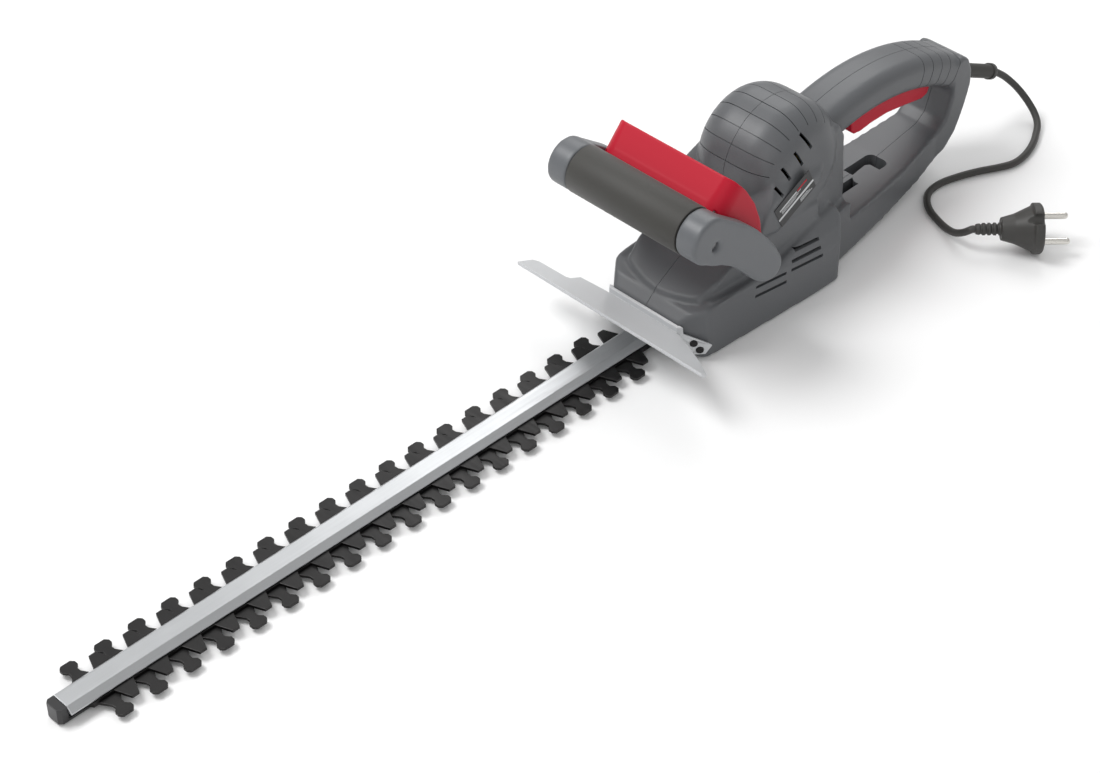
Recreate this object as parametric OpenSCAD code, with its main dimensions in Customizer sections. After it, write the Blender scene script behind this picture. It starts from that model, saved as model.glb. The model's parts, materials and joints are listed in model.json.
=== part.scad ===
// Corded hedge trimmer with two reciprocating blades.
// Frame: origin on the floor under the drive gear's axis, blades towards -X, +Y to the right
// hand of someone holding it, +Z up. Millimetres.

/* [Blades and bar] */
// Distance from one blunt tooth to the next
tooth_pitch = 25; // [22:0.5:30]
// Number of blunt teeth on each side
tooth_count = 18; // [14:1:20]
// How far a blunt tooth reaches from the centre line
tooth_reach = 28.4; // [26:0.2:34]
// Thickness of each blade
blade_t = 2; // [1.6:0.1:2.4]
// How far each blade moves either side of its middle place
half_stroke = 6.25; // [4:0.25:7.5]
// Half width of the bar's cover at its lower edge
cover_half_w = 10; // [9:0.5:12]

/* [Housing] */
// Half width of the upper housing
body_half_w = 40; // [36:1:48]
// Half width of the base at its widest
base_half_w = 49; // [47:1:59]
// Wall of the housing shells
wall = 2.5; // [2:0.1:3]
// Radius of the dome over the motor
dome_r = 46; // [43:0.5:52]
// Height of the dome's centre
dome_z = 96; // [94:1:100]
// Half width of the rear handle
grip_bar_half_w = 20; // [18:0.5:24]
// Height of the rear handle's upper bar from below to above
grip_bar_h = 26; // [24:0.5:30]

/* [Front handle] */
// Radius over the soft sleeve
sleeve_r = 17; // [15:0.5:20]
// Half length of the soft sleeve
sleeve_half_l = 48.4; // [44:0.2:52]
// Thickness of the soft sleeve
sleeve_t = 3; // [2:0.25:4]
// Thickness of the lever's wall
lever_t = 2.5; // [2:0.1:2.6]

/* [Drive] */
// Size of the gear teeth
gear_module = 1; // [1:0.05:1.05]
// Teeth on the drive gear
gear_teeth = 64; // [56:1:66]
// Teeth on the motor's pinion
pinion_teeth = 12; // [11:1:14]
// Radius of each eccentric disc
eccentric_r = 12; // [11.5:0.25:13]
// Radius of the fixed pin that the drive gear turns on
gear_pin_r = 4; // [3.5:0.25:4.5]

/* [Motor] */
// Radius of the motor's shaft
shaft_r = 4; // [3.5:0.25:4.5]
// Outer radius of the field core
stator_r = 28; // [26:0.5:30]
// Radius of the armature core
armature_r = 15.5; // [14:0.25:16.5]
// Height of both cores
stack_h = 36; // [30:1:38]
// Radius of the cooling fan
fan_r = 31; // [26:0.5:33]

/* [Cord and plug] */
// Diameter of the cord
cord_d = 5.3; // [5:0.1:6]
// Radius of the plug's round face
plug_r = 18; // [16:0.5:18]
// Radius of each plug pin
plug_pin_r = 2.4; // [2.2:0.1:2.5]

/* [Hidden] */
$fn = 64;

// Clearances
running = 0.05;      // shaft in a bearing, gear on its pin
slip = 0.3;          // pieces that slide or swing past each other
eps = 1;             // how far a cut runs past a face

// Colours
c_shell = [0.37, 0.38, 0.4];
c_soft = [0.2, 0.19, 0.17];
c_red = [0.78, 0.08, 0.2];
c_steel = [0.7, 0.71, 0.72];
c_black = [0.13, 0.13, 0.13];
c_clear = [0.88, 0.89, 0.9];

// Heights of the flat stack from the floor up
base_plate_t = 2;
lower_blade_z = 3;
upper_blade_z = lower_blade_z + blade_t + 0.1;
support_z = upper_blade_z + blade_t + 0.1;
support_t = 2.6;
cover_top_z = 12.5;
gear_z = support_z + 2.3;
gear_h = 8;
case_wall = 3;

// Plan of the blades, along -X
last_tooth_x = -102.3;
tip_tooth_x = last_tooth_x - tooth_pitch * (tooth_count - 1);
bar_tip_x = tip_tooth_x - 26.2;
yoke_end_x = 34 + half_stroke;
blade_root_half_w = 10.5;
yoke_half_w = 25.5;

// Gear pair: the drive gear turns about the origin's Z axis
gear_r = gear_module * gear_teeth / 2;
pinion_r = gear_module * pinion_teeth / 2;
motor_x = gear_r + pinion_r;
throw = half_stroke;

// Gear case and motor, upwards
case_z = support_z + 0.8;
case_half_w = gear_r + 2.2 + case_wall;
case_top_z = gear_z + gear_h + 3.5;
bearing_h = 7;
bearing_r = 11;
lower_bearing_z = case_top_z + 1;
fan_z = lower_bearing_z + bearing_h + 3;
fan_h = 9;
stack_z = fan_z + fan_h + 10;
commutator_z = stack_z + stack_h + 11;
commutator_h = 13;
commutator_r = 10.5;
upper_bearing_z = commutator_z + commutator_h + 3.5;
shaft_top_z = upper_bearing_z + bearing_h + 1;

// Dome and rear handle, side view
dome_x = 47.5;
handle_c = [140, -72];          // centre of the rear handle's arch
handle_top_r = 190;
handle_from = -17;              // degrees from straight up, towards the dome
handle_to = 31;

// Front handle
grip_c = [-79.1, 121.6];        // centre of the grip, side view
arm_in_y = 54;
arm_out_y = 66;
lever_pivot = [-28, 90];
lever_out_y = 53;
foot_c = [-19, 69];             // where each arm meets the housing
foot_r = 10;
spigot_c = [-14, 66];

// Rear trigger
trigger_pivot = [212, 84];
trigger_half_w = 8;
trigger_pin_r = 2;

// Cord, bush and plug
bush_from = [240, 0, 72];
bush_tilt = 26.57;
bush_l = 63;
bush_r = 5.3;
// The cord's route from the bush to the plug
cord_route = [[297, 0, 43.5], [304, -1, 39.5], [312, -4, 32.5], [319, -10, 23], [322, -18, 14],
    [321, -26, 7.5], [316, -33, 3.8], [306, -39.5, 2.7], [294, -45.7, 2.7], [279, -50.3, 2.7],
    [265, -51, 2.7], [253, -46.5, 2.7], [240, -39.7, 2.7], [225, -33.5, 2.7], [208, -29, 2.7],
    [194, -30, 2.7], [184, -36, 2.7], [176.5, -45, 2.7], [171.5, -56, 2.7], [167, -67, 4],
    [163, -77, 7.5], [161, -85, 12.5], [161.8, -90.5, 17]];
plug_at = [164.6, -93.3, 18];
plug_turn = -44.3;
pins_turn = 32;
plug_relief_l = 17.5;
plug_cone_l = 21;
plug_face_l = 7.6;
plug_pin_gap = 19;
plug_pin_l = 19;
plug_pin_neck = 1;

// ---------- shared shapes ----------

// Side view (XZ) shape pushed along Y from y0 to y1
module side(y0, y1) {
    translate([0, y1, 0]) rotate([90, 0, 0]) linear_extrude(y1 - y0) children();
}

// End view (YZ) shape pushed along X from x0 to x1
module endwise(x0, x1) {
    translate([x0, 0, 0]) rotate([90, 0, 90]) linear_extrude(x1 - x0) children();
}

// Cylinder along Y at a side-view point
module pin_y(p, r, y0, y1) {
    translate([p[0], y0, p[1]]) rotate([-90, 0, 0]) cylinder(r = r, h = y1 - y0);
}

// Cylinder along Z
module post(x, y, r, z0, z1) {
    translate([x, y, z0]) cylinder(r = r, h = z1 - z0);
}

module ring(x, y, r_out, r_in, z0, z1) {
    difference() {
        post(x, y, r_out, z0, z1);
        post(x, y, r_in, z0 - eps, z1 + eps);
    }
}

// Corner points of a convex or concave outline moved inwards by d (outline runs anticlockwise)
function unit(v) = v / norm(v);
function cross2(a, b) = a[0] * b[1] - a[1] * b[0];
function inward(pts, d) = [for (i = [0 : len(pts) - 1])
    let (p = pts[i],
         u = unit(p - pts[(i + len(pts) - 1) % len(pts)]),
         v = unit(pts[(i + 1) % len(pts)] - p),
         s = 1 + u * v)
    p + d * ([-u[1], u[0]] + [-v[1], v[0]]) / s];

// Outline from its upper half: points (x, half width) mirrored in the X axis
function anticlockwise(half) = concat([for (p = half) [p[0], -p[1]]],
    [for (i = [len(half) - 1 : -1 : 0]) half[i]]);

module rounded_box2(w, h, r) {
    square([w - 2 * r, h], center = true);
    square([w, h - 2 * r], center = true);
    for (sx = [-1, 1], sy = [-1, 1]) translate([sx * (w / 2 - r), sy * (h / 2 - r)]) circle(r);
}

module slot2(l, r) {
    square([l, 2 * r], center = true);
    for (s = [-1, 1]) translate([s * l / 2, 0]) circle(r);
}

// Smooth route through the points, and a closed round tube swept along a list of points
function spline(p, i, t) =
    let (n = len(p) - 1, a = p[max(i - 1, 0)], b = p[i], c = p[min(i + 1, n)], d = p[min(i + 2, n)])
    0.5 * (2 * b + (c - a) * t + (2 * a - 5 * b + 4 * c - d) * t * t
        + (3 * b - a - 3 * c + d) * t * t * t);
function smooth_route(p, steps) = concat(
    [for (i = [0 : len(p) - 2], k = [0 : steps - 1]) spline(p, i, k / steps)], [p[len(p) - 1]]);
function heading(p, i) = unit(p[min(i + 1, len(p) - 1)] - p[max(i - 1, 0)]);
function turned(n, t) = unit(n - (n * t) * t);
function frames(p, n0) = [for (i = 0, n = turned(n0, heading(p, 0)); i < len(p);
    i = i + 1, n = i < len(p) ? turned(n, heading(p, i)) : n) n];
module tube(p, r, sides, n0) {
    f = frames(p, n0);
    last = len(p) - 1;
    rings = [for (i = [0 : last], k = [0 : sides - 1])
        let (a = 360 * k / sides) p[i] + r * (cos(a) * f[i] + sin(a) * cross(heading(p, i), f[i]))];
    skin = [for (i = [0 : last - 1], k = [0 : sides - 1])
        [i * sides + k, (i + 1) * sides + k, (i + 1) * sides + (k + 1) % sides,
            i * sides + (k + 1) % sides]];
    polyhedron(rings, concat(skin, [[for (k = [0 : sides - 1]) k]],
        [[for (k = [sides - 1 : -1 : 0]) last * sides + k]]), convexity = 10);
}
function helix(c, r, z0, z1, turns, per_turn) = [for (i = [0 : turns * per_turn])
    let (a = 360 * i / per_turn, t = i / (turns * per_turn))
    [c[0] + r * cos(a), c[1] + r * sin(a), z0 + (z1 - z0) * t]];

// ---------- housing ----------

nose_x = -69.4;
nose_z = 29.6;
base_plan = [[nose_x, 30], [-53, body_half_w + 4], [-20, body_half_w + 5], [25, base_half_w - 1],
    [50, base_half_w], [74, base_half_w], [80, body_half_w + 2]];
base_side = [[-57, 0], [80, 0], [82, 52], [74, 57], [35, 49], [0, 45], [-30, 52], [-54, 43.5],
    [-62, 36], [nose_x, nose_z], [nose_x, 12]];
base_end = [[-base_half_w, 0], [base_half_w, 0], [base_half_w, 32], [body_half_w + 3, 44],
    [30, 60], [-30, 60], [-body_half_w - 3, 44], [-base_half_w, 32]];
upper_plan = [[-60, 28], [-40, 37], [-10, body_half_w], [70, body_half_w], [104, 28]];
upper_side = [[-56, 30], [106, 24], [103, 32], [98, 78], [99, 92], [104, 112], [86, 113], [66, 122],
    [30, 124], [8, 108], [1, 98], [-36.8, 53.4], [-54, 43.5]];
upper_end = [[-body_half_w, 0], [body_half_w, 0], [body_half_w, 96], [22, 124], [-22, 124],
    [-body_half_w, 96]];
tail_plan = [[60, 40], [82, 39], [99, 36.5], [137, 31], [179, 25], [219, 20], [246, 18.5]];
tail_side = [[60, 0], [76, 0], [110, 3], [150, 6], [190, 11], [222, 20], [233, 32], [241, 50],
    [246, 66], [246, 78], [241, 90], [234, 94], [227, 88], [226, 66], [220, 46], [211.6, 39.5],
    [173, 32], [100, 24], [60, 30]];

module plan_slice(half, d, z1) {
    translate([0, 0, -eps]) linear_extrude(z1 + 2 * eps) polygon(inward(anticlockwise(half), d));
}

// The housing's outer form, or its hollow when d is the wall
module housing_form(d) {
    intersection() {
        side(-60, 60) polygon(inward(base_side, d));
        plan_slice(base_plan, d, 70);
        endwise(-80, 100) polygon(inward(base_end, d));
    }
    intersection() {
        side(-60, 60) polygon(inward(upper_side, d));
        plan_slice(upper_plan, d, 140);
        endwise(-80, 120) polygon(inward(upper_end, d));
    }
    dome(d);
    handle_arch(d);
    intersection() {
        side(-60, 60) polygon(inward(tail_side, d));
        plan_slice(tail_plan, d, 110);
    }
}

// Drum with rounded shoulders, its axis across the housing
module dome(d) {
    shoulder = 22;
    half = body_half_w - d;
    r = dome_r - d;
    translate([dome_x, 0, dome_z]) rotate([90, 0, 0]) rotate_extrude($fn = 96) {
        translate([0, -half]) square([r - shoulder, 2 * half]);
        translate([0, -half + shoulder]) square([r, 2 * (half - shoulder)]);
        intersection() {
            translate([0, -half]) square([r, 2 * half]);
            for (s = [-1, 1]) translate([r - shoulder, s * (half - shoulder)]) circle(shoulder, $fn = 96);
        }
    }
}

// The arched upper bar of the rear handle
module handle_arch(d) {
    r = handle_top_r - grip_bar_h / 2;
    translate([handle_c[0], 0, handle_c[1]]) rotate([90, 0, 0]) rotate([0, 0, 90 - handle_to])
        rotate_extrude(angle = handle_to - handle_from, $fn = 180) translate([r, 0])
            rounded_box2(grip_bar_h - 2 * d, 2 * (grip_bar_half_w - d), 10 - d);
}

boss_at = [[-46, 30], [93, 98], [90, 14], [196, 25], [223.5, 32], [109, 101], [236, 84.5]];
boss_r = 4;
screw_r = 1.5;
screw_seat_y = 14;
screw_head_r = 3;

module bosses() {
    for (p = boss_at) pin_y(p, boss_r, -60, 60);
    post(spring_at[0], 0, 4, spring_z[1], 130);
    for (s = [-1, 1]) pin_y(trigger_pivot, trigger_pin_r + 3, s > 0 ? 8.5 : -60, s > 0 ? 60 : -8.5);
}

// Plates across the hollow that hold the gear case, the motor and the terminal block
module cradle() {
    for (z = [stack_z + 3, stack_z + stack_h - 5]) translate([motor_x - 45, -60, z]) cube([105, 120, wall]);
    translate([motor_x - 26, -60, upper_bearing_z - 1]) cube([52, 120, bearing_h + 2]);
    translate([-60, -60, case_top_z]) cube([130, 120, wall]);
    translate([215, -60, 43]) cube([30, 120, 2]);
}

module cradle_seats() {
    post(motor_x, 0, stator_r, fan_z - 2, stack_z + stack_h + 20);
    post(motor_x, 0, bearing_r, upper_bearing_z, upper_bearing_z + bearing_h);
    post(motor_x, 0, shaft_r + 2, upper_bearing_z - 9, shaft_top_z + 4);
    post(motor_x, 0, bearing_r + 3.5, case_top_z - eps, case_top_z + 9);
    post(0, 0, gear_pin_r + 0.5, case_top_z - eps, case_top_z + 9);
}

vent_slots = [[39.3, 126.8], [30.7, 116.3], [20.2, 109.2], [11.8, 98.2]];
side_vents = [[38, 45.5], [38, 39], [38, 32.8], [4, 35.8], [4, 28]];

module vents() {
    for (s = [-1, 1]) translate([0, s * 45, 0]) {
        for (p = vent_slots) side(-20, 20) translate([p[0], p[1]]) rotate(-63) slot2(18, 1.6);
        for (v = side_vents) side(-5, 20) translate([v[0], v[1]]) rotate(-5) slot2(26, 1.3);
    }
}

// Plan of the slot in the tail where a loop of extension lead is hooked
module hook_plan(d) {
    translate([142, -2]) rounded_box2(50 + 2 * d, 18 + 2 * d, 8 + d);
}
module cord_hook() {
    translate([0, 0, -eps]) linear_extrude(60) difference() {
        hook_plan(0);
        polygon([[110, -4], [136, -4], [158, -1], [158, 2.5], [143, 0.5], [132, 1.5], [110, 1.5]]);
    }
}

module housing_shell() {
    difference() {
        union() {
            difference() {
                housing_form(0);
                housing_form(wall);
            }
            intersection() {
                housing_form(wall / 2);
                union() {
                    cradle();
                    bosses();
                    linear_extrude(50) hook_plan(wall);
                    translate([bush_from[0] - 9, -12, bush_from[2] - 12]) cube([20, 24, 24]);
                }
            }
        }
        cradle_seats();
        vents();
        cord_hook();
        // mouth for the blades
        translate([nose_x - 10, -yoke_half_w + 2, -eps]) cube([40, 2 * yoke_half_w - 4, 15 + eps]);
        translate([0, 0, -eps]) linear_extrude(wall + 2 * eps)
            polygon(inward(anticlockwise(base_plate_half), -slip));
        // slot for the trigger, and the ends of its pin
        side(-trigger_half_w - 0.5, trigger_half_w + 0.5) polygon([[115, 60], [219, 60], [219, 92],
            [206, 97], [166, 102], [134, 106], [115, 98]]);
        pin_y(trigger_pivot, trigger_pin_r, -14, 14);
        // hole for the cord's bush
        translate(bush_from) rotate([0, 90 + bush_tilt, 0]) translate([0, 0, -30]) cylinder(r = bush_r, h = 60);
        // screws from the right
        for (p = boss_at) {
            pin_y(p, screw_r, -10, 60);
            pin_y(p, screw_head_r, screw_seat_y, 60);
        }
        // feet of the front handle's arms
        for (s = [-1, 1]) pin_y(spigot_c, spigot_r, s > 0 ? 31 : -60, s > 0 ? 60 : -31);
        guard_screw_shanks();
    }
}

module housing_left() {
    color(c_shell) intersection() {
        housing_shell();
        translate([-100, -100, -10]) cube([400, 100, 200]);
    }
}

module housing_right() {
    color(c_shell) intersection() {
        housing_shell();
        translate([-100, 0, -10]) cube([400, 100, 200]);
    }
}

base_screw_at = [[-50, 30], [-50, -30], [58, 30], [58, -30]];

base_plate_half = [[-64, 26], [-50, 36], [66, 36]];

module base_screw_form() {
    for (p = base_screw_at) {
        post(p[0], p[1], 1.6, 0, case_z + 6);
        translate([p[0], p[1], 0]) cylinder(r1 = 3.2, r2 = 1.6, h = 1.6);
    }
}

module base_cover() {
    color(c_steel) difference() {
        linear_extrude(base_plate_t) polygon(anticlockwise(base_plate_half));
        base_screw_form();
        post(0, 0, gear_pin_r, 0.8, 10);
    }
}

module base_screws() {
    color(c_steel) base_screw_form();
}

// ---------- gear case, blades and bar ----------

module gear_case() {
    color(c_steel) difference() {
        union() {
            translate([-56, -case_half_w, case_z]) cube([120, 2 * case_half_w, case_top_z - case_z]);
            for (p = base_screw_at) post(p[0], p[1], 4.5, base_plate_t, case_z + 1);
            post(motor_x, 0, bearing_r + 3, case_top_z - 1, lower_bearing_z + bearing_h);
        }
        post(0, 0, gear_r + 2.2, case_z - eps, gear_z + gear_h + 0.5);
        post(motor_x, 0, pinion_r + 3, case_z - eps, gear_z + gear_h + 1);
        post(motor_x, 0, shaft_r + 1, case_z, case_top_z + 10);
        post(motor_x, 0, bearing_r, lower_bearing_z, case_top_z + 20);
        post(0, 0, gear_pin_r, case_z, case_top_z + eps);
        base_screw_form();
        // seat for the support bar
        translate([-60, -support_half_w, case_z - eps]) cube([20, 2 * support_half_w, support_z + support_t - case_z + eps]);
    }
}

module gear_pin() {
    color(c_steel) post(0, 0, gear_pin_r, 0.8, case_top_z);
}

support_half_w = 6.5;
bolt_r = 2;
bolt_count = 6;
bolt_from_x = tip_tooth_x + tooth_pitch / 2;
bolt_gap = 3 * tooth_pitch;
function bolt_x(i) = bolt_from_x + i * bolt_gap;

module support_bar() {
    color(c_steel) difference() {
        translate([bar_tip_x - 3, -support_half_w, support_z])
            cube([-40 - bar_tip_x + 3, 2 * support_half_w, support_t]);
        for (i = [0 : bolt_count - 1]) post(bolt_x(i), 0, bolt_r, support_z - eps, cover_top_z);
    }
}

module bar_cover() {
    top = support_z + support_t;
    color(c_steel) difference() {
        endwise(bar_tip_x, -57) polygon([[-cover_half_w, support_z + 0.2], [cover_half_w, support_z + 0.2],
            [cover_half_w, 8.4], [6, cover_top_z], [-6, cover_top_z], [-cover_half_w, 8.4]]);
        endwise(bar_tip_x - eps, -56) polygon([[-support_half_w, 0], [support_half_w, 0],
            [support_half_w, top], [4.6, top], [4.6, cover_top_z - 1], [-4.6, cover_top_z - 1],
            [-4.6, top], [-support_half_w, top]]);
    }
}

module bar_end_cap() {
    half = 6.8;
    color(c_black) difference() {
        union() {
            translate([bar_tip_x - 6.5, -half, 1]) cube([6.5, 2 * half, 11]);
            translate([bar_tip_x - 1, -half, 1]) cube([16, 2 * half, 1.7]);
        }
        translate([bar_tip_x - 3, -support_half_w, support_z]) cube([10, 2 * support_half_w, support_t]);
        for (s = [-1, 1]) translate([bar_tip_x - 6.5, s * half, -eps]) rotate(45)
            cube([3, 3, 40], center = true);
    }
}

module blade_bolts() {
    color(c_steel) for (i = [0 : bolt_count - 1]) {
        post(bolt_x(i), 0, bolt_r, 1, support_z + support_t);
        post(bolt_x(i), 0, 3.6, support_z + support_t, cover_top_z - 1);
    }
}

module blade_nuts() {
    color(c_steel) for (i = [0 : bolt_count - 1]) difference() {
        translate([bolt_x(i), 0, 1]) cylinder(r = 4, h = 1.7, $fn = 6);
        post(bolt_x(i), 0, bolt_r, 0, 3);
    }
}

// Plan of a blade: spine, slots for the bolts, and the yoke round an eccentric
module blade_plan(reach, far_shift, near_x) {
    yoke_x = eccentric_r + throw + half_stroke + 0.5;
    yoke_y = eccentric_r + throw + 1;
    difference() {
        union() {
            polygon(anticlockwise([[tip_tooth_x - 13.5, 7], [tip_tooth_x - 11, blade_root_half_w],
                [-75, blade_root_half_w], [-46, yoke_y + 5.5], [yoke_x + 6, yoke_y + 5.5]]));
            for (i = [0 : tooth_count - 1]) {
                translate([near_x + i * tooth_pitch, 0]) mirror([0, 1]) children();
                translate([near_x + far_shift + i * tooth_pitch, 0]) children();
            }
        }
        square([2 * yoke_x, 2 * yoke_y], center = true);
        for (i = [0 : bolt_count - 1]) translate([bolt_x(i), 0]) slot2(2 * half_stroke + 1.4, bolt_r + slip);
    }
}

module blunt_tooth() {
    polygon([[-8.5, blade_root_half_w - 1], [8.5, blade_root_half_w - 1], [3.4, 17.5], [3.2, 20.5],
        [5.6, 23.2], [5.6, tooth_reach - 2.2], [3.6, tooth_reach], [-3.6, tooth_reach],
        [-5.6, tooth_reach - 2.2], [-5.6, 23.2], [-3.2, 20.5], [-3.4, 17.5]]);
}

module cutting_tooth() {
    polygon([[-7.5, blade_root_half_w - 1], [7.5, blade_root_half_w - 1], [2.6, 22], [-2.6, 22]]);
}

module blade_lower() {
    color(c_black) translate([0, 0, lower_blade_z]) linear_extrude(blade_t)
        blade_plan(tooth_reach, -2.7, tip_tooth_x) blunt_tooth();
}

module blade_upper() {
    color(c_black) translate([0, 0, upper_blade_z]) linear_extrude(blade_t)
        blade_plan(22, 1.8, tip_tooth_x + 10.7) cutting_tooth();
}

// ---------- drive ----------

// Stub-toothed spur gear with backlash
module gear_plan(n, m) {
    tip = m * n / 2 + 0.5 * m;
    root = m * n / 2 - 0.8 * m;
    w = m * 0.52;
    union() {
        circle(root);
        for (i = [0 : n - 1]) rotate(360 * i / n)
            polygon([[root - 0.5, -w * 1.5], [tip, -w * 0.66], [tip, w * 0.66], [root - 0.5, w * 1.5]]);
    }
}

module drive_gear() {
    color(c_steel) difference() {
        union() {
            translate([0, 0, gear_z]) linear_extrude(gear_h) gear_plan(gear_teeth, gear_module);
            post(0, 0, 7.5, upper_blade_z + blade_t + 0.1, gear_z + 1);
        }
        post(0, 0, gear_pin_r + running, 0, 40);
        ring(0, 0, gear_r - 5, 10, gear_z + 5, gear_z + gear_h + 1);
    }
}

module eccentric(s, z0, z1) {
    color(c_steel) difference() {
        post(0, s * throw, eccentric_r, z0, z1);
        post(0, 0, gear_pin_r + running, z0 - eps, z1 + eps);
    }
}

module eccentric_lower() {
    eccentric(1, lower_blade_z - 0.1, lower_blade_z + blade_t + 0.05);
}

module eccentric_upper() {
    eccentric(-1, lower_blade_z + blade_t + 0.05, upper_blade_z + blade_t + 0.1);
}

module motor_pinion() {
    color(c_steel) difference() {
        translate([motor_x, 0, gear_z - 0.5]) rotate(180 + 180 / pinion_teeth) linear_extrude(gear_h + 0.5)
            gear_plan(pinion_teeth, gear_module);
        post(motor_x, 0, shaft_r - 1, 0, 40);
    }
}

module motor_shaft() {
    color(c_steel) {
        post(motor_x, 0, shaft_r - 1, gear_z - 0.5, gear_z + gear_h);
        post(motor_x, 0, shaft_r, gear_z + gear_h, shaft_top_z);
    }
}

module armature_core() {
    color([0.5, 0.5, 0.52]) difference() {
        post(motor_x, 0, armature_r, stack_z, stack_z + stack_h);
        post(motor_x, 0, shaft_r, 0, 200);
        armature_slots(5);
    }
}

module armature_slots(z_past) {
    for (i = [0 : 11]) translate([motor_x, 0, stack_z - z_past]) rotate(30 * i)
        translate([8, -1.6, 0]) cube([5.5, 3.2, stack_h + 2 * z_past]);
}

module armature_winding() {
    color([0.72, 0.38, 0.16]) {
        intersection() {
            armature_slots(0);
            post(motor_x, 0, 20, stack_z, stack_z + stack_h);
        }
        ring(motor_x, 0, 14, shaft_r, stack_z - 7, stack_z);
        ring(motor_x, 0, 14, shaft_r, stack_z + stack_h, stack_z + stack_h + 8);
    }
}

module commutator() {
    color([0.75, 0.45, 0.2]) difference() {
        ring(motor_x, 0, commutator_r, shaft_r, commutator_z, commutator_z + commutator_h);
        for (i = [0 : 23]) translate([motor_x, 0, commutator_z + 2]) rotate(15 * i)
            translate([commutator_r - 0.8, -0.25, 0]) cube([2, 0.5, commutator_h]);
    }
}

module cooling_fan() {
    color(c_black) {
        ring(motor_x, 0, fan_r, shaft_r, fan_z, fan_z + 1.6);
        ring(motor_x, 0, 9, shaft_r, fan_z + 1.6, fan_z + fan_h);
        for (i = [0 : 8]) translate([motor_x, 0, fan_z + 1.6]) rotate(40 * i) translate([8.5, -0.8, 0])
            cube([fan_r - 9.5, 1.6, fan_h - 1.6]);
    }
}

module bearing(z0, gap) {
    color(c_steel) difference() {
        post(motor_x, 0, bearing_r, z0, z0 + bearing_h);
        post(motor_x, 0, shaft_r + gap, z0 - eps, z0 + bearing_h + eps);
        ring(motor_x, 0, 9, 6.5, z0 + bearing_h - 0.6, z0 + bearing_h + eps);
    }
}

module lower_bearing() {
    bearing(lower_bearing_z, running);
}

module upper_bearing() {
    bearing(upper_bearing_z, running);
}

// Plan of the field core's pockets, one each side
module coil_pockets() {
    for (s = [0, 180]) rotate(s) intersection() {
        difference() {
            circle(stator_r - 3.5);
            circle(armature_r + 2.5);
        }
        translate([0, -14]) square([stator_r, 28]);
    }
}

module stator_core() {
    color([0.55, 0.55, 0.57]) translate([motor_x, 0, stack_z]) difference() {
        linear_extrude(stack_h) difference() {
            circle(stator_r);
            circle(armature_r + 0.7);
            coil_pockets();
        }
    }
}

module field_windings() {
    color([0.72, 0.38, 0.16]) {
        translate([motor_x, 0, stack_z]) linear_extrude(stack_h) coil_pockets();
        ring(motor_x, 0, stator_r - 3.5, armature_r + 2.5, stack_z - 6, stack_z);
        ring(motor_x, 0, stator_r - 3.5, armature_r + 2.5, stack_z + stack_h, stack_z + stack_h + 6);
    }
}

module brush_pair(x0, x1, half_y, z0, z1) {
    for (s = [0, 180]) translate([motor_x, 0, 0]) rotate(s)
        translate([x0, -half_y, z0]) cube([x1 - x0, 2 * half_y, z1 - z0]);
}

module brush_holders() {
    z0 = commutator_z + 1;
    color([0.72, 0.6, 0.25]) difference() {
        brush_pair(commutator_r + 1.5, commutator_r + 14, 4.5, z0, upper_bearing_z - 1);
        brush_pair(commutator_r, commutator_r + 12.5, 3, z0 + 1.5, z0 + 8.5);
    }
}

module carbon_brushes() {
    z0 = commutator_z + 1;
    color([0.16, 0.16, 0.17]) brush_pair(commutator_r + slip, commutator_r + 12.5, 3, z0 + 1.5, z0 + 8.5);
}

// ---------- front handle ----------

spigot_r = 4;
grip_arm_r = sleeve_r - 0.2;
core_r = sleeve_r - sleeve_t;
arm_screw = [-75, 115.5];
arm_side = [[-84, 105.4], [-77, 101], [-68, 97], [-58, 90.5], [-49.5, 82.5], [-41.5, 73.5],
    [-33, 65], [-26, 60.8], [-19, 59.2], [-12.5, 61.5], [-9.5, 67], [-10, 74], [-16, 85], [-24, 95.5],
    [-34, 107], [-46, 118], [-57, 126], [-68, 134]];

// The lever's wall leans back at this angle from its foot in the grip
lever_foot = [-62.4, 125.6];
lever_lean = 48.4;
lever_slot_gap = 1.1;

// The slot in the grip that the lever's wall slides into
module lever_slot() {
    side(-lever_out_y - 0.5, lever_out_y + 0.5) translate(lever_foot) rotate(lever_lean)
        translate([-10.5, -lever_t - lever_slot_gap]) square([15, lever_t + 2 * lever_slot_gap]);
}

module handle_core() {
    color(c_shell) difference() {
        pin_y(grip_c, core_r, -arm_in_y, arm_in_y);
        pin_y(grip_c, core_r - 5, -40, 40);
        lever_slot();
        for (s = [-1, 1]) pin_y(arm_screw, 1.6, s > 0 ? 44 : -60, s > 0 ? 60 : -44);
    }
}

module handle_sleeve() {
    color(c_soft) difference() {
        pin_y(grip_c, sleeve_r, -sleeve_half_l, sleeve_half_l);
        pin_y(grip_c, core_r, -60, 60);
        lever_slot();
    }
}

module handle_arm() {
    color(c_shell) difference() {
        union() {
            side(arm_in_y, arm_out_y) polygon(inward(arm_side, 0));
            pin_y(grip_c, grip_arm_r, sleeve_half_l, arm_out_y);
            pin_y(foot_c, foot_r, body_half_w, arm_out_y);
            pin_y(spigot_c, spigot_r, 31.5, body_half_w + 1);
        }
        pin_y(grip_c, core_r, 40, arm_in_y);
        lever_slot();
        pin_y(lever_pivot, lever_pin_r + running, arm_in_y - 4, arm_in_y + 6.5);
        pin_y(arm_screw, 1.6, 40, 70);
        pin_y(arm_screw, 3.4, arm_out_y - 5, 70);
    }
}

module handle_arm_right() {
    handle_arm();
}

module handle_arm_left() {
    mirror([0, 1, 0]) handle_arm();
}

module handle_screws() {
    color(c_steel) for (s = [0, 1]) mirror([0, s, 0]) {
        pin_y(arm_screw, 1.6, 44, arm_out_y - 5);
        pin_y(arm_screw, 3.1, arm_out_y - 5, arm_out_y - 3);
    }
}

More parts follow.
